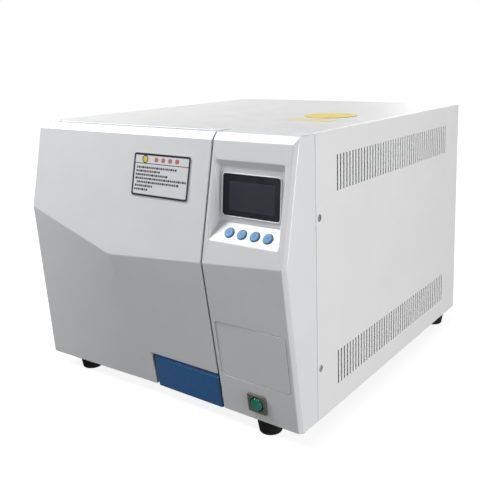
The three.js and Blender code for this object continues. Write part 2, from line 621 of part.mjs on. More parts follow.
function addControls() {
  BUTTON_X.forEach((x, i) => add(`button_${i + 1}`, button(x), BUTTON_BLUE));
  const { x, z, radius } = SWITCH;
  const place = [x, lowerFacetY(z), z];
  const face = onLowerFacet(SWITCH, 0, 2.5, -2.8, -0.9);
  const body = onLowerFacet(SWITCH, -4.6, 1, -1, 24);
  const well = tilted(rod('y', radius + 1, -4, 11, [0, 0, 0]), LOWER_TILT, ...place);
  add('switch_bezel', cut(join(face, body), well), GREY_PLASTIC);
  const rim = radius - 0.4;
  const dome = turned([[0, -3.2], [5, -3.5], [rim, -3.9], [rim, 1], [5.5, 5], [0, 6]], 20);
  add('power_rocker', tilted(dome, LOWER_TILT, ...place), GREEN_LENS);
}

// ---- chamber, jacket and load ----
function ring(inner, outer, front, back) {
  return turned([[inner, front], [outer, front], [outer, back], [inner, back], [inner, front]], 36);
}

function pressureVessel() {
  const { radius, wall, front, back } = CHAMBER;
  const outside = radius + wall;
  const inner = [[0, back - 4], [60, back - 7], [100, back - 18], [radius, back - 45], [radius, front]];
  const rim = [[FLANGE.radius, front], [FLANGE.radius, front + FLANGE.depth], [outside, front + FLANGE.depth]];
  const shell = [[outside, back - 43], [102, back - 15], [61, back - 3.6], [0, back]];
  return turned([...inner, ...rim, ...shell], 36);
}

function addChamber() {
  const centre = [CHAMBER.x, 0, CHAMBER.z];
  const outside = CHAMBER.radius + CHAMBER.wall;
  const heater = ring(outside + GAP, outside + GAP + HEATER.depth, HEATER.front, HEATER.back);
  const jacket = ring(outside + 2 * GAP + HEATER.depth, JACKET_RADIUS, SEAM_Y + 2, TRAY.back);
  add('chamber', pressureVessel(), STAINLESS, centre);
  add('heater_band', heater, SILICONE, centre);
  add('chamber_insulation', jacket, INSULATION, centre);
  SADDLE.places.forEach((y, i) => add(`chamber_saddle_${i + 1}`, saddle(y), ZINC_STEEL));
}

function saddle(y) {
  const foot = FLOOR_Z + 2 + GAP;
  const [left, right] = [CHAMBER.x - SADDLE.half, CHAMBER.x + SADDLE.half];
  const plate = block(left, right, y, y + SADDLE.sheet, foot, SADDLE.top);
  const toe = block(left, right, y, y + SADDLE.toe, foot, foot + 3);
  const cradle = rod('y', JACKET_RADIUS + GAP, y - 1, y + 60, [CHAMBER.x, 0, CHAMBER.z], 48);
  return cut(join(plate, toe), cradle);
}

// two windowed side sheets with a pair of rails for each tray
function trayRack() {
  const { half, sheet, low, high, rail } = RACK;
  const [front, back] = [TRAY.front + 6, TRAY.back - 10];
  const sides = [-half, half - sheet].map((x) => block(x, x + sheet, front, back, low, high));
  const rails = TRAY.floors.flatMap((floor) => [-half, half - rail].map((x) =>
    block(x, x + rail, front, back, floor - 2, floor - 0.8)));
  const ties = [front, back - rail].map((y) => block(-half, half, y, y + rail, low, low + sheet));
  const windows = [front + 40, (front + back) / 2 + 12].flatMap((y) => TRAY.floors.slice(0, 2).map((floor) =>
    block(-half - 5, half + 5, y, y + RACK.window, floor + 10, floor + 10 + RACK.windowHeight)));
  return cut(join(sides[0], sides[1], ...rails, ...ties), ...windows);
}

function tray() {
  const { width, height, wall, front, back } = TRAY;
  const inner = width / 2 - wall;
  const pan = cut(block(-width / 2, width / 2, front, back, 0, height),
    block(-inner, inner, front + wall, back - wall, wall, height + 1));
  const slots = [];
  for (let row = 0; row < TRAY_SLOT.rows; row += 1) {
    const y = front + TRAY_SLOT.start + row * TRAY_SLOT.pitch;
    for (const x of TRAY_SLOT.columns) {
      slots.push(block(x, x + TRAY_SLOT.length, y, y + TRAY_SLOT.width, -1, wall + 1));
    }
  }
  return cut(pan, mergeGeometries(slots));
}

function addLoad() {
  add('tray_rack', trayRack(), STAINLESS, [CHAMBER.x, 0, CHAMBER.z]);
  TRAY.floors.forEach((floor, i) => {
    add(`tray_${i + 1}`, tray(), STAINLESS, [CHAMBER.x, 0, CHAMBER.z + floor - 0.4]);
  });
}

// ---- case ----
function sideSlots() {
  const slots = [];
  for (const [low, high] of SLOT.rows) {
    for (let i = 0; i < SLOT.count; i += 1) {
      const y = SLOT.start + i * SLOT.pitch;
      slots.push(block(-SIDE - 5, SIDE + 5, y, y + SLOT.width, low, high));
    }
  }
  return mergeGeometries(slots);
}

function caseCover() {
  const bend = BEND_RADIUS;
  const outer = new THREE.Shape();
  outer.moveTo(-SIDE, FLOOR_Z);
  outer.lineTo(-SIDE + SHEET, FLOOR_Z);
  outer.lineTo(-SIDE + SHEET, ROOF_Z - bend);
  outer.absarc(-SIDE + bend, ROOF_Z - bend, bend - SHEET, Math.PI, Math.PI / 2, true);
  outer.lineTo(SIDE - bend, ROOF_Z - SHEET);
  outer.absarc(SIDE - bend, ROOF_Z - bend, bend - SHEET, Math.PI / 2, 0, true);
  outer.lineTo(SIDE - SHEET, FLOOR_Z);
  outer.lineTo(SIDE, FLOOR_Z);
  outer.lineTo(SIDE, ROOF_Z - bend);
  outer.absarc(SIDE - bend, ROOF_Z - bend, bend, 0, Math.PI / 2);
  outer.lineTo(-SIDE + bend, ROOF_Z);
  outer.absarc(-SIDE + bend, ROOF_Z - bend, bend, Math.PI / 2, Math.PI);
  return cut(sweptY(outer, SEAM_Y, REAR_SHEET_Y), sideSlots());
}

function rearPanel() {
  const inner = SIDE - SHEET - GAP;
  const [front, back] = [PANEL_Y - 5, PANEL_Y + 5];
  const sheet = block(-inner, inner, PANEL_Y, PANEL_Y + SHEET, FLOOR_Z + 2 + GAP, ROOF_Z - SHEET - 1.5);
  const grille = [];
  for (let i = -GRILLE.rows; i <= GRILLE.rows; i += 1) {
    const x = FAN.x + i * GRILLE.pitch - GRILLE.width / 2;
    const half = Math.sqrt(FAN.radius ** 2 - (i * GRILLE.pitch) ** 2) - 2;
    grille.push(block(x, x + GRILLE.width, front, back, FAN.z - half, FAN.z + half));
  }
  const [halfWidth, halfHeight] = [INLET.width / 2 + GAP, INLET.height / 2 + GAP];
  const inlet = block(
    INLET.x - halfWidth, INLET.x + halfWidth, front, back, INLET.z - halfHeight, INLET.z + halfHeight);
  const holes = [SPIGOT, RELIEF].map(({ x, z }) => rod('y', 8, front, back, [x, 0, z]));
  return cut(sheet, mergeGeometries(grille), inlet, ...holes);
}

function addFeet() {
  const { top, low, front, back } = FOOT;
  const high = FOOT_HEIGHT - GAP * 2;
  const section = [[0, 0], [low - 1, 0], [low, 1], [top, FOOT_HEIGHT - 4], [top, high], [0, high]];
  const foot = turned(section, 20).rotateX(Math.PI / 2);
  const places = [front, back].flatMap(([x, y]) => [[-x, y, 0], [x, y, 0]]);
  places.forEach((place, i) => add(`foot_${i + 1}`, foot, BLACK_RUBBER, place));
}

function addSideScrews() {
  const { radius, y, heights } = SIDE_SCREW;
  const head = turned([[0, GAP], [radius, GAP], [radius, 0.9], [radius - 0.8, 1.6], [0, 1.8]], 14);
  const slots = [block(-2.6, 2.6, 1.2, 3, -0.4, 0.4), block(-0.4, 0.4, 1.2, 3, -2.6, 2.6)];
  const drive = turnedTo(cut(head, ...slots), 'x');
  const places = [-1, 1].flatMap((side) => heights.map((z) => [side, z]));
  places.forEach(([side, z], i) => {
    const turn = side > 0 ? 0 : Math.PI;
    add(`side_screw_${i + 1}`, drive.clone().rotateZ(turn), ZINC_STEEL, [side * (SIDE - 2.2), y, z]);
  });
}

function addCase() {
  const { seat, y, heights } = SIDE_SCREW;
  const screwSeats = heights.map((z) => rod('x', seat, -SIDE - 5, SIDE + 5, [0, y, z], 20));
  add('case_cover', cut(caseCover(), ...screwSeats), WHITE_PAINT);
  const inner = SIDE - SHEET - GAP;
  add('base_plate', block(-inner, inner, SEAM_Y, REAR_SHEET_Y - 1, FLOOR_Z, FLOOR_Z + 2), ZINC_STEEL);
  add('rear_panel', rearPanel(), WHITE_PAINT);
  const sticker = rod('z', STICKER.radius, ROOF_Z + GAP, HEIGHT, [STICKER.x, STICKER.y, 0], 40);
  add('top_label', sticker, AMBER_FILM);
  addFeet();
  addSideScrews();
}

// ---- plumbing and electrics inside the case ----
function waterTank() {
  const { left, right, front, back, low, high, wall } = TANK;
  const { x, y, radius, bore, top } = FILLER;
  const body = join(block(left, right, front, back, low, high), rod('z', radius, high - 1, top, [x, y, 0]));
  const room = block(left + wall, right - wall, front + wall, back - wall, low + wall, high - wall);
  return cut(body, room, rod('z', bore, high - 5, HEIGHT, [x, y, 0]));
}

function vacuumPump() {
  const { x, z, radius, front, back } = PUMP;
  const motor = rod('y', radius, front, back - 48, [x, 0, z]);
  const head = block(x - 35, x + 35, back - 50, back, z - 36, z + 36);
  const mount = block(x - 25, x + 25, front + 10, back - 8, FLOOR_Z + 2 + GAP, z - 26);
  return join(motor, head, mount);
}

function condenser() {
  const { left, right, front, back, fins, pitch, fin } = CONDENSER;
  const low = FAN.z - 48;
  const sheets = Array.from({ length: fins }, (_, i) =>
    block(left, right, front, back, low + i * pitch, low + i * pitch + fin));
  const [first, second] = [left + 4, right - 12].map((x) =>
    block(x, x + 8, front + 14, back - 14, low - 4, FAN.z + 48));
  return join(first, second, ...sheets);
}

function addPlumbing() {
  add('water_tank', waterTank(), TANK_PLASTIC);
  add('vacuum_pump', vacuumPump(), ZINC_STEEL);
  add('condenser', condenser(), COPPER);
  const manifold = block(VALVES.left, VALVES.right, VALVES.y - 9, VALVES.y + 9, VALVES.low, VALVES.low + 30);
  const coils = VALVES.places.map((x) => rod('z', 10, VALVES.low + 29, VALVES.high, [x, VALVES.y, 0]));
  add('valve_block', join(manifold, ...coils), BRASS);
  add('steam_pipe', steamPipe(), COPPER);
  const filterAxis = [FILTER.x, 0, FILTER.z];
  const spout = rod('y', FILTER.spout, 205, 262, filterAxis);
  const filter = join(rod('y', FILTER.radius, 212, 255, filterAxis), spout);
  add('air_filter', filter, TANK_PLASTIC);
  addRearSpouts();
}

function addRearSpouts() {
  const relief = turned([
    [0, 226], [7, 226], [7, REAR_SHEET_Y - 1], [11, REAR_SHEET_Y - 1], [11, BACK - 6],
    [6, BACK - 6], [6, BACK - 1], [0, BACK - 1],
  ], 16);
  add('safety_valve', relief, BRASS, [RELIEF.x, 0, RELIEF.z]);
  const outside = REAR_SHEET_Y + 3;
  const barb = turned([
    [0, 246], [7, 246], [7, REAR_SHEET_Y - GAP], [9.5, REAR_SHEET_Y - GAP], [9.5, outside], [5, outside],
    [6, outside + 4], [4.6, outside + 6], [5.2, BACK - 1], [4, BACK], [0, BACK],
  ], 16);
  add('drain_spigot', barb, BRASS, [SPIGOT.x, 0, SPIGOT.z]);
}

// from the valve block up and round the chamber's dished end
function steamPipe() {
  const path = new THREE.CatmullRomCurve3([
    [-6, 231, 176], [-6, 231, 200], [20, 231, 232], [60, 226, 262], [92, 212, 276], [104, 170, 270],
    [106, 150, 262],
  ].map((point) => new THREE.Vector3(...point)));
  const section = new THREE.Shape();
  section.absarc(0, 0, 4, 0, Math.PI * 2);
  const options = { steps: 18, bevelEnabled: false, curveSegments: 4, extrudePath: path };
  return new THREE.ExtrudeGeometry(section, options);
}

function addFan() {
  const back = PANEL_Y - GAP;
  const half = FAN.size / 2;
  const housing = block(FAN.x - half, FAN.x + half, back - FAN.depth, back, FAN.z - half, FAN.z + half);
  const duct = rod('y', FAN.radius, back - FAN.depth - 5, back + 5, [FAN.x, 0, FAN.z], 32);
  const spider = block(FAN.x - half + 1, FAN.x + half - 1, back - 2, back, FAN.z - 3, FAN.z + 3);
  const hubSeat = rod('y', FAN.hub - 1, back - 4, back, [FAN.x, 0, FAN.z]);
  add('fan_frame', join(cut(housing, duct), spider, hubSeat), BLACK_PLASTIC);
  const hub = rod('y', FAN.hub, back - FAN.depth + 1, back - 4 - GAP, [0, 0, 0]);
  const blades = [];
  for (let i = 0; i < FAN.blades; i += 1) {
    const blade = block(FAN.hub - 3, FAN.radius - 1.5, -1, 1, -9, 9).rotateX(0.7);
    blades.push(blade.translate(0, back - 14, 0).rotateY((i * Math.PI * 2) / FAN.blades));
  }
  add('fan_rotor', join(hub, ...blades), BLACK_PLASTIC, [FAN.x, 0, FAN.z]);
}

function addElectrics() {
  addFan();
  add('control_board', controlBoard(), CIRCUIT_GREEN);
  const { left, right, front, back, top } = SUPPLY;
  add('power_supply', block(left, right, front, back, FLOOR_Z + 2 + GAP, top), ZINC_STEEL);
  add('mains_inlet', mainsInlet(), BLACK_PLASTIC);
}

function controlBoard() {
  const { front, back, low, high, right, rows, columns, pitch } = BOARD;
  const relays = [];
  for (let row = 0; row < rows; row += 1) {
    for (let column = 0; column < columns; column += 1) {
      const [y, z] = [front + 10 + column * pitch, low + 10 + row * pitch];
      relays.push(block(right - 18, right - 1, y, y + 26, z, z + 18));
    }
  }
  return join(block(right - 2, right, front, back, low, high), ...relays);
}

function mainsInlet() {
  const { x, z, width, height } = INLET;
  const outside = REAR_SHEET_Y - SHEET + GAP;
  const [halfWidth, halfHeight] = [width / 2, height / 2];
  const [wide, high] = [halfWidth + INLET.flange, halfHeight + 4];
  const flange = block(x - wide, x + wide, outside, outside + 3, z - high, z + high);
  const body = block(
    x - halfWidth, x + halfWidth, outside - 26, outside + 1, z - halfHeight, z + halfHeight);
  const well = block(x - 11.5, x + 11.5, outside - 14, outside + 6, z - 7.5, z + 7.5);
  const pins = [[-7, -1.5], [0, 2.5], [7, -1.5]].map(([dx, dz]) =>
    block(x + dx - 1, x + dx + 1, outside - 16, outside - 4, z + dz - 2, z + dz + 2));
  return join(cut(join(flange, body), well), ...pins);
}

addFrontMouldings();
addDoor();
addHandleAndLock();
addControls();
addChamber();
addLoad();
addCase();
addPlumbing();
addElectrics();

export default group;
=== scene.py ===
import json
import math

import bmesh
import bpy
from mathutils import Matrix, Vector


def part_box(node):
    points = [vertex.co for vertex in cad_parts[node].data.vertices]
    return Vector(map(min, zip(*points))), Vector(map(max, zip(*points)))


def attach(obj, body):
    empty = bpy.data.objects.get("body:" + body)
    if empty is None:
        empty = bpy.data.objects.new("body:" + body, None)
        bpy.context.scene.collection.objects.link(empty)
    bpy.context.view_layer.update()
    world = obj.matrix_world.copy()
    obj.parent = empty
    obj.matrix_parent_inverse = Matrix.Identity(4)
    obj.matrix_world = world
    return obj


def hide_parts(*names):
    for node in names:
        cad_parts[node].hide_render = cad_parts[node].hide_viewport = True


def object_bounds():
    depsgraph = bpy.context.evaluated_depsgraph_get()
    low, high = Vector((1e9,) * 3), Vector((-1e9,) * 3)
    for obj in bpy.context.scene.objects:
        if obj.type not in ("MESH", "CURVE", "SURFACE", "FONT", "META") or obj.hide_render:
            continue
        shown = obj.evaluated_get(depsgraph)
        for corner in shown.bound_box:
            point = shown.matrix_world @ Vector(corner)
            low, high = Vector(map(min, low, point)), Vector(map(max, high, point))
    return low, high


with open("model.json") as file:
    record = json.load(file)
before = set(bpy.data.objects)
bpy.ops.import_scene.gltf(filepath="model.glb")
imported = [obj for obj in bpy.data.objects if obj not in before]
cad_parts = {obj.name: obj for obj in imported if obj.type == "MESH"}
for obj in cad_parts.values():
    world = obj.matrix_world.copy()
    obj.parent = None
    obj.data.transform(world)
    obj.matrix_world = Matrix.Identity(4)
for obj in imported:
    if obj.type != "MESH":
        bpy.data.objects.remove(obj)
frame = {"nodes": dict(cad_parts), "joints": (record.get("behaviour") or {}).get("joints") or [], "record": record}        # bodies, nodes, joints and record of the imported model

MM = 0.001
X_AXIS, Y_AXIS, Z_AXIS = Vector((1, 0, 0)), Vector((0, 1, 0)), Vector((0, 0, 1))
FRONT, BACK, UP = -Y_AXIS, Y_AXIS, Z_AXIS
CAD_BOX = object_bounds()
SLOT_OF = {part["node"]: part["material_slot"] for part in frame["record"]["subparts"]}
BODY_OF = {node: body for body, nodes in frame["record"]["behaviour"]["bodies"].items() for node in nodes}
FRONT_TOP = CAD_BOX[1].z - 11.3 * MM        # where the front ends and the bevel up to the roof begins
WELD = 0.002 * MM                           # vertices nearer than this are one
ON_AXIS = 0.02 * MM                         # a point nearer to an axis than this lies on it
CRISP_RADIUS = 0.25 * MM
# A node's edges stay crisp near the parts that are let into it, as far beyond each part as it says in mm.
LET_INTO = {
    "control_column": {"service_cover": 1.2, "switch_bezel": 1.2, "display_window": 3.2, "button_1": 1.2,
                       "button_2": 1.2, "button_3": 1.2, "button_4": 1.2, "lock_pin": 4.0},
    "door_cover": {"lock_pin": 6.0},
}


# ---------------------------------------------------------------- shader building
class Shader:
    """One Principled material whose sockets are fed by small procedural networks."""

    def __init__(self, name, colour, roughness, metallic=0.0, **fixed):
        self.material = bpy.data.materials.new(name)
        self.material.use_nodes = True
        self.tree = self.material.node_tree
        self.principled = self.tree.nodes["Principled BSDF"]
        self.principled.inputs["Base Color"].default_value = (*colour, 1)
        self.principled.inputs["Roughness"].default_value = roughness
        self.principled.inputs["Metallic"].default_value = metallic
        for socket, value in fixed.items():
            self.principled.inputs[socket.replace("_", " ")].default_value = value
        self.place = self.add("ShaderNodeTexCoord").outputs["Object"]

    def add(self, kind, **inputs):
        node = self.tree.nodes.new(kind)
        for socket, value in inputs.items():
            self.feed(node.inputs[socket.replace("_", " ")], value)
        return node

    def feed(self, socket, value):
        if isinstance(value, bpy.types.NodeSocket):
            self.tree.links.new(value, socket)
        else:
            socket.default_value = value

    def noise(self, size_mm, detail=3.0, stretch=None):
        """Noise whose features are size_mm across, longer along the axes that stretch names."""
        place = self.place
        if stretch:
            mapping = self.add("ShaderNodeMapping", Vector=place)
            mapping.inputs["Scale"].default_value = [1 / s for s in stretch]
            place = mapping.outputs["Vector"]
        node = self.add("ShaderNodeTexNoise", Vector=place, Scale=1000 / size_mm, Detail=detail)
        return node.outputs["Fac"]

    def spread(self, value, low, high, start=0.3, end=0.7):
        """A texture value between start and end, spread over low to high."""
        node = self.add("ShaderNodeMapRange", Value=value)
        for socket, number in zip(("From Min", "From Max", "To Min", "To Max"), (start, end, low, high)):
            self.feed(node.inputs[socket], number)
        return node.outputs["Result"]

    def blend(self, factor, first, second):
        """The first colour where the factor is 0, the second where it is 1."""
        node = self.add("ShaderNodeMix")
        node.data_type = "RGBA"
        self.feed(node.inputs["Factor"], factor)
        first_colour, second_colour = node.inputs[6], node.inputs[7]
        for socket, value in ((first_colour, first), (second_colour, second)):
            self.feed(socket, value if isinstance(value, bpy.types.NodeSocket) else (*value, 1))
        mixed_colour = node.outputs[2]
        return mixed_colour

    def crevices(self, distance_mm):
        """Near 1 in corners and gaps, 0 on open surfaces."""
        node = self.add("ShaderNodeAmbientOcclusion")
        node.samples = 8
        node.inputs["Distance"].default_value = distance_mm * MM
        return self.spread(node.outputs["AO"], 1, 0, 0.25, 0.85)

    def edges(self, radius_mm):
        """Near 1 on convex edges, 0 on flat stretches."""
        bevel = self.add("ShaderNodeBevel")
        bevel.samples = 4
        bevel.inputs["Radius"].default_value = radius_mm * MM
        geometry = self.add("ShaderNodeNewGeometry")
        turn = self.add("ShaderNodeVectorMath")
        turn.operation = "DOT_PRODUCT"
        self.feed(turn.inputs[0], bevel.outputs["Normal"])
        self.feed(turn.inputs[1], geometry.outputs["Normal"])
        return self.spread(turn.outputs["Value"], 1, 0, 0.86, 0.99)

    def bump(self, height, depth_mm, strength=1.0, below=None):
        """The normal of a surface that a texture raises, on top of the bump below."""
        node = self.add("ShaderNodeBump", Height=height)
        node.inputs["Distance"].default_value = depth_mm * MM
        node.inputs["Strength"].default_value = strength
        if below is not None:
            self.feed(node.inputs["Normal"], below)
        return node.outputs["Normal"]

    def set(self, socket, value):
        self.feed(self.principled.inputs[socket], value)


def shade(colour, factor):
    return tuple(min(1, channel * factor) for channel in colour)


def moulded(name, colour, roughness, grain_depth=0.02, mottle=0.02, dirt=0.2, reach=7, highlight_above=None, **fixed):
    """Injection-moulded plastic: a spark-eroded grain, a slow unevenness, paler convex edges that are partly
    worn and partly a painted highlight, and painted shade that reaches some mm out of the corners. Above the
    given height, surfaces that face up are paler: a painted highlight."""
    shader = Shader(name, colour, roughness, **fixed)
    uneven = shader.spread(shader.noise(70, 4), 0, 1)
    tone = shader.blend(uneven, shade(colour, 1 - mottle), shade(colour, 1 + mottle))
    # convex edges made paler: partly edge wear, partly a painted highlight
    worn_and_highlit_edges = shader.blend(shader.edges(0.8), tone, shade(colour, 1.08))
    # painted shade: the colour darkens where ambient occlusion finds corners, recesses and gaps
    lit_and_shaded_tone = shader.blend(shader.crevices(reach), worn_and_highlit_edges, shade(colour, 1 - dirt))
    # painted highlight: surfaces that face up above the given height are paler
    if highlight_above:
        height = shader.add("ShaderNodeSeparateXYZ", Vector=shader.place).outputs["Z"]
        normal = shader.add("ShaderNodeNewGeometry").outputs["True Normal"]
        upward = shader.add("ShaderNodeSeparateXYZ", Vector=normal).outputs["Z"]
        facing_up = shader.spread(upward, 0, 1, 0.3, 0.6)
        paler = shader.spread(height, 0, facing_up, highlight_above, highlight_above + 0.5 * MM)
        lit_and_shaded_tone = shader.blend(paler, lit_and_shaded_tone, shade(colour, 1.17))
    shader.set("Base Color", lit_and_shaded_tone)
    shader.set("Roughness", shader.spread(shader.noise(18, 5), roughness - 0.06, roughness + 0.06))
    waves = shader.bump(shader.noise(55, 2), 0.06, 0.35)
    shader.set("Normal", shader.bump(shader.noise(0.7, 3), grain_depth, 0.5, waves))
    return shader.material


def powder_coat(name, colour, roughness):
    """Stoved paint on sheet steel: orange peel, faint rolling waves and painted shade at the folds."""
    shader = Shader(name, colour, roughness, Coat_Weight=0.12, Coat_Roughness=0.25)
    uneven = shader.spread(shader.noise(110, 4), 0, 1)
    tone = shader.blend(uneven, shade(colour, 0.985), shade(colour, 1.015))
    # painted shade: darker where ambient occlusion finds folds and corners
    shader.set("Base Color", shader.blend(shader.crevices(5), tone, shade(colour, 0.72)))
    shader.set("Roughness", shader.spread(shader.noise(30, 5), roughness - 0.05, roughness + 0.07))
    waves = shader.bump(shader.noise(160, 2), 0.25, 0.3)
    shader.set("Normal", shader.bump(shader.noise(1.6, 2), 0.03, 0.35, waves))
    return shader.material


def brushed(name, colour, roughness, along=(1, 1, 12), wear=0.12, metallic=1.0):
    """Drawn or brushed metal: fine streaks along one way and a slow stain."""
    shader = Shader(name, colour, roughness, metallic)
    streaks = shader.noise(0.5, 4, along)
    stain = shader.spread(shader.noise(35, 5), 0, 1)
    tone = shader.blend(stain, shade(colour, 1 - wear), shade(colour, 1.05))
    # painted shade: darker where ambient occlusion finds corners and hollows
    shader.set("Base Color", shader.blend(shader.crevices(4), tone, shade(colour, 0.55)))
    shader.set("Roughness", shader.spread(streaks, roughness - 0.08, roughness + 0.12))
    shader.set("Normal", shader.bump(streaks, 0.01, 0.5))
    return shader.material


def printed(name, colour, roughness=0.45):
    """Ink or film with a faint screen-print grain."""
    shader = Shader(name, colour, roughness)
    grain = shader.spread(shader.noise(0.35, 2), 0, 1)
    shader.set("Base Color", shader.blend(grain, shade(colour, 0.93), shade(colour, 1.05)))
    shader.set("Roughness", shader.spread(shader.noise(9, 3), roughness - 0.08, roughness + 0.08))
    shader.set("Normal", shader.bump(shader.noise(4, 2), 0.02, 0.3))
    return shader.material


def dark_glass(name, colour, roughness, smears=0.1):
    """A hard-coated window: deep colour, a few faint smears in the gloss."""
    shader = Shader(name, colour, roughness, Specular_IOR_Level=0.35)
    smear = shader.noise(14, 5, (1, 1, 3))
    shader.set("Roughness", shader.spread(smear, roughness, roughness + smears, 0.4, 0.75))
    shader.set("Base Color", shader.blend(shader.spread(smear, 0, 1), colour, shade(colour, 1 + 2 * smears)))
    shader.set("Normal", shader.bump(shader.noise(60, 1), 0.03, 0.2))
    return shader.material


def felt(name, colour):
    """Matted mineral fibre: lighter tufts and darker hollows."""
    shader = Shader(name, colour, 0.95, Sheen_Weight=0.3)
    fibres = shader.noise(2.2, 6, (3, 1, 1))
    tufts = shader.spread(fibres, 0, 1)
    shader.set("Base Color", shader.blend(tufts, shade(colour, 0.7), shade(colour, 1.15)))
    shader.set("Normal", shader.bump(fibres, 0.6, 0.8))
    return shader.material


def rubber(name, colour, roughness=0.75, **fixed):
    """Moulded rubber with a fine matt grain and a pale bloom in places."""
    shader = Shader(name, colour, roughness, **fixed)
    bloom = shader.spread(shader.noise(6, 5), 0, 1)
    shader.set("Base Color", shader.blend(bloom, colour, shade(colour, 2.2)))
    shader.set("Roughness", shader.spread(shader.noise(3, 4), roughness - 0.1, roughness + 0.1))
    shader.set("Normal", shader.bump(shader.noise(0.6, 3), 0.04, 0.5))
    return shader.material


# In the moulded finishes the darkening in corners is painted shade; the white moulding's paler upward faces
# at the top are a painted highlight.
FINISHES = {
    "white_moulding": moulded("white_moulding", (0.78, 0.79, 0.80), 0.34, dirt=0.36, reach=14,
                              highlight_above=FRONT_TOP, Coat_Weight=0.2, Coat_Roughness=0.3),
    "white_paint": powder_coat("white_paint", (0.80, 0.805, 0.80), 0.46),
    "liner_paint": powder_coat("liner_paint", (0.70, 0.71, 0.70), 0.45),
    "display_glass": dark_glass("display_glass", (0.019, 0.022, 0.028), 0.16),
    "circuit_board": moulded("circuit_board", (0.015, 0.11, 0.045), 0.4),
    "stainless_steel": brushed("stainless_steel", (0.62, 0.63, 0.64), 0.3, (12, 1, 1)),
    "silicone": rubber("silicone", (0.55, 0.52, 0.44), 0.55),
    "zinc_steel": brushed("zinc_steel", (0.52, 0.54, 0.56), 0.42, (1, 1, 4), 0.2),
    "label_film": printed("label_film", (0.76, 0.77, 0.79)),
    "blue_plastic": moulded("blue_plastic", (0.021, 0.130, 0.34), 0.26, mottle=0.05, dirt=0.3,
                            Coat_Weight=0.6, Coat_Roughness=0.12),
    "button_blue": moulded("button_blue", (0.13, 0.335, 0.60), 0.5, mottle=0.04, dirt=0.6,
                           Specular_IOR_Level=0.2),
    "grey_plastic": moulded("grey_plastic", (0.165, 0.155, 0.12), 0.45, dirt=0.5),
    "green_lens": moulded("green_lens", (0.018, 0.255, 0.19), 0.25, grain_depth=0.005, Coat_Weight=0.4,
                          Coat_Roughness=0.1),
    "chamber_steel": brushed("chamber_steel", (0.60, 0.61, 0.62), 0.26, (1, 14, 1), 0.08),
    "insulation": felt("insulation", (0.55, 0.5, 0.4)),
    "tray_aluminium": brushed("tray_aluminium", (0.72, 0.73, 0.74), 0.36, (1, 12, 1), 0.08),
    "amber_film": printed("amber_film", (0.87, 0.71, 0.20)),
    "black_rubber": rubber("black_rubber", (0.006, 0.006, 0.0065), Specular_IOR_Level=0.25),
    "screw_steel": brushed("screw_steel", (0.72, 0.72, 0.73), 0.22, (3, 1, 1), 0.08, 0.6),
    "tank_plastic": moulded("tank_plastic", (0.66, 0.69, 0.70), 0.4),
    "copper": brushed("copper", (0.62, 0.28, 0.14), 0.32, (1, 4, 1), 0.3),
    "brass": brushed("brass", (0.58, 0.42, 0.16), 0.3, (1, 5, 1), 0.2),
    "black_plastic": moulded("black_plastic", (0.014, 0.014, 0.015), 0.5, grain_depth=0.04, dirt=0.3),
}
INKS = {
    "ink_navy": printed("ink_navy", (0.012, 0.013, 0.035)),
    "ink_grey": printed("ink_grey", (0.022, 0.024, 0.040)),
    "ink_red": printed("ink_red", (0.56, 0.16, 0.17)),
    "ink_yellow": printed("ink_yellow", (0.78, 0.60, 0.02)),
    "ink_amber": printed("ink_amber", (0.80, 0.36, 0.09)),
    "film_cream": printed("film_cream", (0.85, 0.75, 0.42)),
    "lcd_grey": dark_glass("lcd_grey", (0.032, 0.037, 0.049), 0.3, 0.03),
    "rim_white": printed("rim_white", (0.93, 0.94, 0.95), 0.35),
    "sign_blue": moulded("sign_blue", (0.03, 0.11, 0.30), 0.5, dirt=0.3),
    "sign_green": moulded("sign_green", (0.10, 0.42, 0.28), 0.35, dirt=0.3),
}


# ---------------------------------------------------------------- mesh building
def new_object(name, bm):
    mesh = bpy.data.meshes.new(name)
    bm.to_mesh(mesh)
    bm.free()
    piece = bpy.data.objects.new(name, mesh)
    bpy.context.scene.collection.objects.link(piece)
    return piece


def room_at(edge):
    """How far an edge can be rounded before it uses up the edges that turn off at either end. Edges whose
    directions have a larger cosine between them than in_line don't turn off."""
    most_in_lengths, share_of_other, in_line = 4, 0.42, 0.87
    room = edge.calc_length() * most_in_lengths
    for vert in edge.verts:
        along = (edge.other_vert(vert).co - vert.co).normalized()
        for other in vert.link_edges:
            if other is edge:
                continue
            way = (other.other_vert(vert).co - vert.co).normalized()
            if abs(way.dot(along)) < in_line:
                room = min(room, other.calc_length() * share_of_other)
    return room


def inside(point, boxes):
    """Whether a point is in any of the (low corner, high corner) boxes."""
    return any(all(low[k] < point[k] < high[k] for k in range(3)) for low, high in boxes)


def weigh_edges(bm, radius, fillet, sharp_angle, crisp_boxes):
    """Bevel weights, so that each sharp edge takes its radius or the most that it has room for."""
    layer = bm.edges.layers.float.new("bevel_weight_edge")
    largest = max(radius, fillet)
    for edge in bm.edges:
        if len(edge.link_faces) != 2 or edge.calc_face_angle(0) < sharp_angle:
            continue
        wanted = radius if edge.is_convex else fillet
        if all(inside(vert.co, crisp_boxes) for vert in edge.verts):
            wanted = min(wanted, CRISP_RADIUS)
        edge[layer] = min(wanted, room_at(edge)) / largest


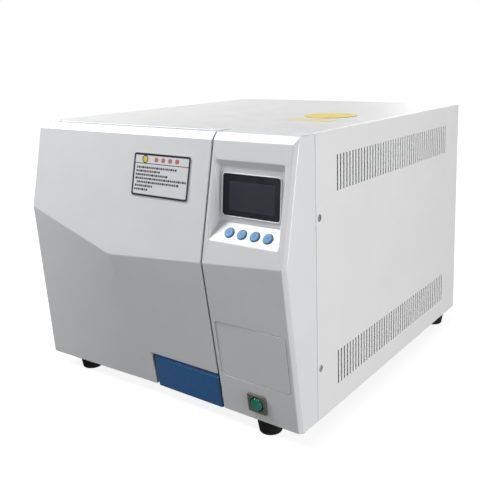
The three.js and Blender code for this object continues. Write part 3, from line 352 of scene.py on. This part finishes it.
def finish_mesh(piece, radius_mm, fillet_mm=0.0, segments=2, sharp_angle=14.0, smooth_angle=38.0,
                crisp_boxes=()):
    """Rounds the sharp edges, then gives the faces smooth, area-weighted normals up to smooth_angle."""
    bm = bmesh.new()
    bm.from_mesh(piece.data)
    weigh_edges(bm, radius_mm * MM, fillet_mm * MM, math.radians(sharp_angle), crisp_boxes)
    bm.to_mesh(piece.data)
    bm.free()
    bevel = piece.modifiers.new("round", "BEVEL")
    bevel.limit_method = "WEIGHT"
    bevel.width = max(radius_mm, fillet_mm) * MM
    bevel.segments = segments
    bevel.use_clamp_overlap = False
    bevel.miter_outer = "MITER_ARC"
    apply_modifiers(piece)
    for polygon in piece.data.polygons:
        polygon.use_smooth = True
    piece.data.set_sharp_from_angle(angle=math.radians(smooth_angle))
    weighted = piece.modifiers.new("normals", "WEIGHTED_NORMAL")
    weighted.keep_sharp = True
    apply_modifiers(piece)
    return piece


def apply_modifiers(piece):
    """Makes what the modifiers show the piece's own mesh."""
    bpy.context.view_layer.update()
    evaluated = piece.evaluated_get(bpy.context.evaluated_depsgraph_get())
    mesh = bpy.data.meshes.new_from_object(evaluated)
    piece.modifiers.clear()
    old, piece.data = piece.data, mesh
    bpy.data.meshes.remove(old)
    mesh.name = piece.name


def belongs(piece, body, material):
    """Puts a piece on a body and gives it a material as its look."""
    piece.data.materials.clear()
    piece.data.materials.append(material)
    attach(piece, body)
    return piece


def stands_for(piece, node):
    """Makes a piece the look of a CAD node, which it replaces."""
    belongs(piece, BODY_OF[node], FINISHES[SLOT_OF[node]])
    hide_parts(node)
    return piece


def refined(node, radius_mm=0.4, fillet_mm=0.0, segments=2, sharp_angle=14.0, smooth_angle=38.0):
    """A finished copy of a CAD node, with rounded edges and smooth normals."""
    bm = bmesh.new()
    bm.from_mesh(frame["nodes"][node].data)
    bmesh.ops.remove_doubles(bm, verts=bm.verts, dist=WELD)
    piece = new_object(f"{node}_skin", bm)
    finish_mesh(piece, radius_mm, fillet_mm, segments, sharp_angle, smooth_angle, crisp_areas(node))
    return stands_for(piece, node)


def crisp_areas(node):
    """The boxes round the parts let into a node, where its edges stay crisp."""
    areas = []
    for fitted, reach_mm in LET_INTO.get(node, {}).items():
        reach = Vector((reach_mm, reach_mm, reach_mm)) * MM
        low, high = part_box(fitted)
        areas.append((low - reach, high + reach))
    return areas


def profile_of(bm, centre, axis):
    """The outline of a turned part as (radius, height) points in order, and whether it closes on itself."""

    def radial(vert):
        along = (vert.co - centre).dot(axis)
        return vert.co - centre - axis * along

    way = max((radial(v) for v in bm.verts), key=lambda r: r.length).normalized()
    line = [v for v in bm.verts if (radial(v) - way * radial(v).length).length < ON_AXIS]

    def beside(vert):
        return [e.other_vert(vert) for e in vert.link_edges if e.other_vert(vert) in line]

    ends = [v for v in line if len(beside(v)) < 2]
    vert = max(ends or line, key=lambda v: (v.co - centre).dot(axis))
    points, seen = [], set()
    while vert is not None:
        points.append((radial(vert).length, (vert.co - centre).dot(axis)))
        seen.add(vert)
        vert = next((v for v in beside(vert) if v not in seen), None)
    if ends and points[0][0] > ON_AXIS:
        points.insert(0, (0, points[0][1]))
    if ends and points[-1][0] > ON_AXIS:
        points.append((0, points[-1][1]))
    return points, not ends


def spin(bm, points, closed, centre, axis, segments):
    """Turns (radius, height) points about an axis; a point on the axis makes a single vertex."""
    side = axis.orthogonal().normalized()
    turns = [Matrix.Rotation(2 * math.pi * i / segments, 3, axis) @ side for i in range(segments)]
    rings = []
    for radius, height in points:
        foot = centre + axis * height
        around = [foot] if radius < ON_AXIS else [foot + turn * radius for turn in turns]
        rings.append([bm.verts.new(point) for point in around])
    pairs = list(zip(rings, rings[1:])) + ([(rings[-1], rings[0])] if closed else [])
    for first, second in pairs:
        for i in range(segments):
            j = i + 1
            corners = [ring[k % len(ring)] for ring, k in ((first, i), (first, j), (second, j), (second, i))]
            different = list(dict.fromkeys(corners))
            if len(different) > 2:
                bm.faces.new(different)
    bmesh.ops.recalc_face_normals(bm, faces=bm.faces)


def respun(node, axis, segments=72, radius_mm=0.3, fillet_mm=0.2, edge_segments=2):
    """A turned CAD node made again on its own profile, with a finer round surface."""
    source = bmesh.new()
    source.from_mesh(frame["nodes"][node].data)
    bmesh.ops.remove_doubles(source, verts=source.verts, dist=WELD)
    centre = sum((v.co for v in source.verts), Vector()) / len(source.verts)
    points, closed = profile_of(source, centre, axis)
    source.free()
    bm = bmesh.new()
    spin(bm, points, closed, centre, axis, segments)
    piece = finish_mesh(new_object(f"{node}_skin", bm), radius_mm, fillet_mm, edge_segments, sharp_angle=20.0)
    return stands_for(piece, node)


# ---------------------------------------------------------------- places on CAD faces
class Face:
    """The largest flat face of a CAD node that looks a given way, with its own right and up directions."""

    def __init__(self, node, looks, right=X_AXIS):
        looks_that_way, parallel, step = 0.6, 0.9995, 0.05 * MM
        mesh = frame["nodes"][node].data
        facing = [p for p in mesh.polygons if p.normal.dot(looks) > looks_that_way]
        main = max(facing, key=lambda p: p.area)
        self.normal = main.normal.copy()
        flush = [p for p in facing if p.normal.dot(self.normal) > parallel
                 and abs((p.center - main.center).dot(self.normal)) < step]
        self.right = (right - self.normal * right.dot(self.normal)).normalized()
        self.up = self.normal.cross(self.right)
        points = [mesh.vertices[i].co for p in flush for i in p.vertices]
        self.u = [min(p.dot(self.right) for p in points), max(p.dot(self.right) for p in points)]
        self.v = [min(p.dot(self.up) for p in points), max(p.dot(self.up) for p in points)]
        self.level = main.center.dot(self.normal)

    @property
    def width(self):
        return self.u[1] - self.u[0]

    @property
    def height(self):
        return self.v[1] - self.v[0]

    def at(self, u, v, lift=0.0):
        """A point u to the right and v up from the face's middle, lifted off it; all in metres."""
        middle = self.right * (sum(self.u) / 2) + self.up * (sum(self.v) / 2) + self.normal * self.level
        return middle + self.right * u + self.up * v + self.normal * lift


def rounded_rectangle(width, height, radius, steps=5):
    """The outline's points, anticlockwise from the right side."""
    points = []
    for quarter, (sx, sy) in enumerate(((1, 1), (-1, 1), (-1, -1), (1, -1))):
        centre = (sx * (width / 2 - radius), sy * (height / 2 - radius))
        for i in range(steps + 1):
            angle = (quarter + i / steps) * math.pi / 2
            points.append((centre[0] + radius * math.cos(angle), centre[1] + radius * math.sin(angle)))
    return points


def circle(radius, steps=40):
    """The outline's points, anticlockwise from the right side."""
    return [(radius * math.cos(2 * math.pi * i / steps), radius * math.sin(2 * math.pi * i / steps))
            for i in range(steps)]


def add_prism(bm, face, outline, centre, low, high, hole=None):
    """A raised shape on a face: an outline, or the band between an outline and a hole of as many points."""
    def ring(points, lift):
        return [bm.verts.new(face.at(centre[0] + u, centre[1] + v, lift)) for u, v in points]

    top, bottom = ring(outline, high), ring(outline, low)
    count = len(outline)
    for i in range(count):
        bm.faces.new((bottom[i], bottom[(i + 1) % count], top[(i + 1) % count], top[i]))
    if hole is None:
        bm.faces.new(top)
        bm.faces.new(bottom[::-1])
        return
    top_hole, bottom_hole = ring(hole, high), ring(hole, low)
    for i in range(count):
        j = (i + 1) % count
        bm.faces.new((bottom_hole[j], bottom_hole[i], top_hole[i], top_hole[j]))
        bm.faces.new((top[i], top[j], top_hole[j], top_hole[i]))
        bm.faces.new((bottom[j], bottom[i], bottom_hole[i], bottom_hole[j]))


def raised(name, face, shapes, low_mm, high_mm, edge_mm=0.03):
    """One piece made of raised shapes; each is (outline, (u, v)) or (outline, (u, v), hole)."""
    bm = bmesh.new()
    for outline, centre, *hole in shapes:
        add_prism(bm, face, outline, centre, low_mm * MM, high_mm * MM, hole[0] if hole else None)
    bmesh.ops.recalc_face_normals(bm, faces=bm.faces)
    return finish_mesh(new_object(name, bm), edge_mm, segments=1, sharp_angle=25.0)


def bar(width, height):
    """The outline of a printed stroke, with its corners rounded a little."""
    return rounded_rectangle(width, height, min(width, height) * 0.3, 2)


# ---------------------------------------------------------------- the CAD nodes, finished
def refine_all():
    """Every machined, moulded and folded part: edge radius and inner fillet in mm, bevel segments, and
    for some the angles in degrees from which an edge is rounded, and from which it still looks sharp."""
    sizes = {
        "door_cover": (1.2, 0.8, 3, 5.0), "control_column": (1.2, 0.8, 3, 5.0), "front_frame": (1.0, 0.6, 2),
        "case_cover": (0.5, 0.3, 2), "rear_panel": (0.12, 0.1, 1, 14.0, 20.0), "base_plate": (0.5, 0.0, 2),
        "service_cover": (0.25, 0.2, 2), "display_window": (0.5, 0.2, 3), "display_module": (0.4, 0.2, 1),
        "door_label": (0.15, 0.0, 1), "switch_bezel": (1.2, 0.6, 3), "handle_paddle": (2.2, 0.8, 4),
        "latch_hook": (0.5, 0.3, 2), "latch_keeper": (0.4, 0.3, 2), "door_yoke": (1.2, 0.8, 2),
        "hinge_bracket": (0.5, 0.3, 2), "door_liner": (0.6, 0.0, 2), "lock_solenoid": (0.8, 0.3, 2),
        "tray_rack": (0.4, 0.3, 2), "tray_1": (0.4, 0.4, 2), "tray_2": (0.4, 0.4, 2), "tray_3": (0.4, 0.4, 2),
        "chamber_saddle_1": (0.4, 0.2, 1), "chamber_saddle_2": (0.4, 0.2, 1), "fan_frame": (0.8, 0.4, 2),
        "fan_rotor": (0.3, 0.2, 2), "mains_inlet": (0.7, 0.4, 2), "control_board": (0.3, 0.2, 1),
        "power_supply": (1.0, 0.5, 2), "water_tank": (3.0, 1.5, 3), "vacuum_pump": (1.5, 0.8, 2),
        "condenser": (0.3, 0.2, 1), "valve_block": (0.8, 0.4, 2), "steam_pipe": (0.3, 0.2, 1),
        "air_filter": (1.0, 0.5, 2),
    }
    for node, size in sizes.items():
        refined(node, *size)


def respin_all():
    """Every turned part, by the way its axis points."""
    by_axis = {
        "y": ("chamber", "chamber_insulation", "heater_band", "door_gasket", "door_plate", "safety_valve",
              "drain_spigot"),
        "z": ("hinge_pin", "foot_1", "foot_2", "foot_3", "foot_4", "top_label"),
        "x": ("handle_pin", "lock_pin"),
    }
    axes = {"x": X_AXIS, "y": Y_AXIS, "z": Z_AXIS}
    for axis, nodes in by_axis.items():
        for node in nodes:
            low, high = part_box(node)
            respun(node, axes[axis], segments=128 if max(high - low) > 200 * MM else 56)
    for joint in frame["joints"]:
        if joint["name"].startswith("button_"):
            button, outward = joint["name"].replace("_press", ""), -Vector(joint["axis"])
            respun(button, outward, 64, radius_mm=0.35, fillet_mm=0.2, edge_segments=3)
    outward = Face("service_cover", FRONT).normal
    respun("power_rocker", outward, 64, radius_mm=0.9, fillet_mm=0.3, edge_segments=4)


# ---------------------------------------------------------------- details on the faces
def screw_head(name, place, axis, radius_mm, rise_mm, slot_name, body="case"):
    """A domed screw head with a hexagonal socket, standing on place and looking along axis."""
    bm = bmesh.new()
    steps = 48
    side = axis.orthogonal().normalized()
    other = axis.cross(side)
    angles = [2 * math.pi * i / steps for i in range(steps)]
    socket_radius, half_sixth = radius_mm * 0.36, math.pi / 6
    socket_flat = socket_radius * math.cos(half_sixth)
    hexagon = [socket_flat / math.cos(angle % (2 * half_sixth) - half_sixth) for angle in angles]
    rim, rest = 0.2, 0.8                        # shares of the rise that are upright and domed
    dome = [(radius_mm, 0.0), (radius_mm, rise_mm * rim)]
    dome += [(radius_mm * math.cos(t), rise_mm * (rim + rest * math.sin(t))) for t in (0.25, 0.5, 0.75, 1.0)]
    profile = [([r] * steps, h) for r, h in dome] + [(hexagon, rise_mm * 0.97), (hexagon, rise_mm * 0.3)]
    rings = []
    for radii, height in profile:
        ring = []
        for angle, r in zip(angles, radii):
            offset = side * (r * math.cos(angle)) + other * (r * math.sin(angle)) + axis * height
            ring.append(bm.verts.new(place + offset * MM))
        rings.append(ring)
    for first, second in zip(rings, rings[1:]):
        for i in range(steps):
            j = (i + 1) % steps
            bm.faces.new((first[i], first[j], second[j], second[i]))
    bm.faces.new(rings[-1])
    bm.faces.new(rings[0][::-1])
    bmesh.ops.recalc_face_normals(bm, faces=bm.faces)
    piece = finish_mesh(new_object(name, bm), 0.12, 0.05, sharp_angle=30.0)
    return belongs(piece, body, FINISHES[slot_name])


def side_screws():
    """The four screws that hold the case at its sides, each on its CAD node's inner end."""
    for i in range(1, 5):
        node = f"side_screw_{i}"
        low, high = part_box(node)
        middle = (low + high) / 2
        outward = X_AXIS if middle.x > 0 else -X_AXIS
        inner_end = Vector((low.x if middle.x > 0 else high.x, middle.y, middle.z))
        radius_mm = (high.z - low.z) / 2 / MM
        piece = screw_head(f"{node}_head", inner_end, outward, radius_mm, 1.4, SLOT_OF[node])
        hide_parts(node)


def painted_seam_shadows():
    """A dark strip in the black rubber finish, painted into the seam between the front mouldings and the case
    as the seam's shadow line; it is widest a little above the middle. Each half width in mm goes with its
    height above the side's middle, as a share of the side's height."""
    half_widths = ((-0.48, 0.3), (0.0, 0.6), (0.2, 1.1), (0.36, 1.1), (0.48, 0.4))
    for node, outward in (("control_column", X_AXIS), ("front_frame", -X_AXIS)):
        side = Face("case_cover", outward, Y_AXIS * outward.x)
        seam = (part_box(node)[1].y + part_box("case_cover")[0].y) / 2
        u = seam * side.right.y - sum(side.u) / 2
        strip = [(u + wide * MM, share * side.height) for share, wide in half_widths]
        strip += [(u - wide * MM, share * side.height) for share, wide in half_widths[::-1]]
        # painted shadow: a dark strip laid in the seam where there is only shade
        seam_shadow = raised(f"{node}_seal", side, [(strip, (0, 0))], -0.6, -0.02, 0.01)
        belongs(seam_shadow, "case", FINISHES["black_rubber"])


def screen():
    """The picture area, which is paler than the black border of the window, and the white rim round the
    window, whose pale white is partly its own colour and partly a painted highlight for the light its edges
    catch."""
    glass = Face("display_window", FRONT)
    picture = rounded_rectangle(glass.width * 0.79, glass.height * 0.70, 0.8 * MM)
    centre = (glass.width * 0.012, -glass.height * 0.02)
    panel = raised("screen_picture", glass, [(picture, centre)], 0.0, 0.06)
    belongs(panel, "case", INKS["lcd_grey"])
    clear, broad = 0.8 * MM, 2.8 * MM           # how much wider than the glass the rim is inside and outside
    outer = rounded_rectangle(glass.width + broad, glass.height + broad, 5.0 * MM)
    inner = rounded_rectangle(glass.width + clear, glass.height + clear, 4.0 * MM)
    # the rim's pale white is partly a painted highlight
    rim = raised("window_rim", glass, [(outer, (0, 0), inner)], 0.0, 1.1, 0.4)
    belongs(rim, "case", INKS["rim_white"])


def door_label():
    """The film on the door: a frame, a divider, a plain disc, plain blocks and rows of dashes."""
    film = Face("door_label", FRONT)
    wide, high = film.width, film.height
    margins, line = 1.2 * MM, 3.0 * MM
    heading, divide = high * 0.355, high * 0.257
    outer = rounded_rectangle(wide - margins, high - margins, 3.6 * MM)
    inner = rounded_rectangle(wide - margins - 2 * line, high - margins - 2 * line, 1.4 * MM)
    divider = bar(wide - 3 * MM, 1.0 * MM)
    spot = (-wide * 0.29, heading)
    disc_radius, ring_radius = 4.3 * MM, 5.6 * MM
    prints = {
        "frame": ("ink_navy", 0.04, [(outer, (0, 0), inner), (divider, (0, divide))]),
        "blocks": ("ink_red", 0.04, [(bar(wide * 0.066, high * 0.10), (wide * (share - 0.5), heading))
                                     for share in (0.41, 0.53, 0.65, 0.77)]),
        "ring": ("ink_grey", 0.04, [(circle(ring_radius), spot, circle(disc_radius))]),
        "disc": ("ink_yellow", 0.03, [(circle(disc_radius), spot)]),
        "dashes": ("ink_grey", 0.04, dashes(wide, high)),
    }
    for part, (ink, thickness_mm, shapes) in prints.items():
        print_layer = raised(f"door_label_{part}", film, shapes, 0.0, thickness_mm)
        belongs(print_layer, "door", INKS[ink])


def dashes(wide, high):
    """Seven rows of short plain dashes. Each row starts and ends at its own shares of the width."""
    rows = ((0.07, 0.75), (0.065, 0.46), (0.06, 0.63), (0.06, 0.93), (0.09, 0.80), (0.06, 0.38),
            (0.055, 0.30))
    first_row, row_pitch = high * 0.165, high * 0.0835
    lengths_mm = (2.2, 3.0, 2.4, 4.2, 2.0, 3.4, 2.6)
    thickness, gap = 3.0 * MM, 0.9 * MM
    shapes = []
    for row, (start, end) in enumerate(rows):
        place, turn = start * wide, row
        while place < end * wide:
            length = lengths_mm[turn % len(lengths_mm)] * MM
            centre = (place + length / 2 - wide / 2, first_row - row_pitch * row)
            shapes.append((bar(length, thickness), centre))
            place += length + gap
            turn += 1
    return shapes


def roof_labels():
    """The ring printed on the round film, and the strip of film stuck beside it."""
    disc = Face("top_label", UP)
    radius, steps = disc.width / 2, 72
    band = (circle(radius - 1 * MM, steps), (0, 0), circle(radius - 6 * MM, steps))
    ring = raised("top_label_ring", disc, [band], -0.02, -0.005, 0.004)
    belongs(ring, "case", INKS["ink_amber"])
    roof = Face("case_cover", UP)
    strip_x, strip_y = 0.150, -0.078
    place = (strip_x - (roof.u[0] + roof.u[1]) / 2, strip_y - (roof.v[0] + roof.v[1]) / 2)
    strip = raised("top_strip", roof, [(rounded_rectangle(0.075, 0.035, 0.012), place)], 0.02, 0.2, 0.05)
    belongs(strip, "case", INKS["film_cream"])


def button_signs():
    """A plain sign on each key: up, down, a ring and a bar."""
    arm, peak, thin = 3.0 * MM, 1.2 * MM, 0.8 * MM

    def chevron(way):
        """An arrow head that points up where way is 1 and down where it is -1."""
        upper = [(-arm, -way * peak), (0, way * peak), (arm, -way * peak)]
        lower = [(u, v - way * thin) for u, v in upper]
        return upper + lower[::-1]

    signs = (
        [(chevron(1), (0, 0))], [(chevron(-1), (0, 0))],
        [(circle(2.3 * MM, 32), (0, 0), circle(1.5 * MM, 32))], [(bar(4.6 * MM, 1.1 * MM), (0, 0))],
    )
    for number, shapes in enumerate(signs, 1):
        way = next(-Vector(j["axis"]) for j in frame["joints"] if j["name"] == f"button_{number}_press")
        key = Face(f"button_{number}", way)
        sign = raised(f"button_{number}_sign", key, shapes, -0.05, 0.12, 0.04)
        belongs(sign, f"button_{number}_body", INKS["sign_blue"])


def rocker_signs():
    """A bar above and a ring below the rocker's middle."""
    rocker = Face("power_rocker", Face("service_cover", FRONT).normal)
    away = 3.0 * MM
    shapes = [(bar(1.0 * MM, 3.4 * MM), (0, away)), (circle(1.8 * MM, 28), (0, -away), circle(1.1 * MM, 28))]
    signs = raised("rocker_signs", rocker, shapes, -0.6, 0.1, 0.04)
    belongs(signs, "rocker", INKS["sign_green"])


def rear_details():
    """Screws round the rear sheet and the fan, and a blank data plate."""
    sheet = Face("rear_panel", BACK, -X_AXIS)
    inset = 8 * MM
    half_wide, half_high = sheet.width / 2 - inset, sheet.height / 2 - inset
    spots = [(x, y) for x in (-half_wide, 0, half_wide) for y in (-half_high, half_high)]
    spots += [(-half_wide, 0), (half_wide, 0)]
    for i, (u, v) in enumerate(spots, 1):
        screw_head(f"rear_screw_{i}", sheet.at(u, v), sheet.normal, 3.4, 1.6, "screw_steel")
    low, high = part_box("fan_frame")
    reach = (high.x - low.x) / 2 - 6 * MM
    for i, (sx, sz) in enumerate(((-1, -1), (1, -1), (1, 1), (-1, 1)), 1):
        place = Vector(((low.x + high.x) / 2 + sx * reach, sheet.level, (low.z + high.z) / 2 + sz * reach))
        screw_head(f"fan_screw_{i}", place, BACK, 3.0, 1.4, "screw_steel")
    blank = rounded_rectangle(0.09, 0.055, 0.003)
    plate = raised("data_plate", sheet, [(blank, (0.03, -0.11))], 0.0, 0.5, 0.15)
    belongs(plate, "case", FINISHES["screw_steel"])


# ---------------------------------------------------------------- camera, floor and light
def look(yaw, pitch, roll):
    """The turn of a camera that looks along +Y, then yaws left, pitches down and rolls, in degrees."""
    yaw, pitch, roll = (math.radians(angle) for angle in (yaw, pitch, roll))
    upright = Matrix.Rotation(math.pi / 2 - pitch, 4, "X")
    return Matrix.Rotation(yaw, 4, "Z") @ upright @ Matrix.Rotation(roll, 4, "Z")


def set_camera():
    data = bpy.data.cameras.new("camera")
    data.lens, data.sensor_width = 50.445, 36.0
    data.shift_x, data.shift_y = -0.07, -0.12
    data.clip_end = 100
    camera = bpy.data.objects.new("camera", data)
    turn = look(yaw=35.393, pitch=10.752, roll=-1.321)
    camera.matrix_world = Matrix.Translation((0.6646, -0.8981, 0.4926)) @ turn
    bpy.context.scene.collection.objects.link(camera)
    bpy.context.scene.camera = camera


def softbox(name, towards, distance, size, level):
    """A flat lamp at a distance from the object's middle. Its level is the brightness that it gives a
    white face turned to it."""
    middle = Vector((0, 0, 0.2))
    towards = Vector(towards).normalized()
    data = bpy.data.lights.new(name, "AREA")
    data.shape = "RECTANGLE"
    data.size, data.size_y = size
    data.energy = level * (math.pi * distance) ** 2
    lamp = bpy.data.objects.new(name, data)
    turn = towards.to_track_quat("Z", "Y").to_matrix().to_4x4()
    lamp.matrix_world = Matrix.Translation(middle + towards * distance) @ turn
    bpy.context.scene.collection.objects.link(lamp)


def set_light():
    """Four soft lamps, and a room that the camera sees as white and that lights the object only dimly."""
    softbox("key_light", (-0.66, -0.30, 0.69), distance=2.6, size=(1.2, 1.2), level=1.22)
    softbox("fill_light", (-0.20, -0.95, 0.20), distance=3.0, size=(1.6, 1.6), level=0.155)
    softbox("side_light", (0.95, -0.12, 0.06), distance=2.6, size=(1.4, 0.7), level=0.70)
    softbox("rear_light", (-0.03, 0.90, 0.43), distance=3.0, size=(1.8, 1.8), level=0.46)
    world = bpy.data.worlds.new("studio")
    bpy.context.scene.world = world
    world.use_nodes = True
    tree = world.node_tree
    room, backdrop = tree.nodes["Background"], tree.nodes.new("ShaderNodeBackground")
    for background, strength in ((room, 0.13), (backdrop, 1.0)):
        background.inputs["Color"].default_value = (1, 1, 1, 1)
        background.inputs["Strength"].default_value = strength
    path = tree.nodes.new("ShaderNodeLightPath")
    mix = tree.nodes.new("ShaderNodeMixShader")
    tree.links.new(path.outputs["Is Camera Ray"], mix.inputs[0])
    tree.links.new(room.outputs[0], mix.inputs[1])
    tree.links.new(backdrop.outputs[0], mix.inputs[2])
    tree.links.new(mix.outputs[0], tree.nodes["World Output"].inputs["Surface"])
    bpy.context.scene.view_settings.view_transform = "Standard"


def set_floor():
    """White paper under the object, which glows a little more with distance until it meets the backdrop."""
    bm = bmesh.new()
    bmesh.ops.create_circle(bm, cap_ends=True, segments=96, radius=12)
    floor = new_object("floor", bm)
    shader = Shader("floor_paper", (0.30, 0.30, 0.30), 1.0, Specular_IOR_Level=0.0)
    distance = shader.add("ShaderNodeVectorMath", Vector=shader.place)
    distance.operation = "LENGTH"
    shader.principled.inputs["Emission Color"].default_value = (1, 1, 1, 1)
    shader.set("Emission Strength", shader.spread(distance.outputs["Value"], 0.86, 1.0, 0.5, 2.2))
    floor.data.materials.append(shader.material)
    floor.visible_diffuse = False
    floor.visible_glossy = False


set_camera()
set_light()
set_floor()
refine_all()
respin_all()
side_screws()
painted_seam_shadows()
screen()
door_label()
roof_labels()
button_signs()
rocker_signs()
rear_details()
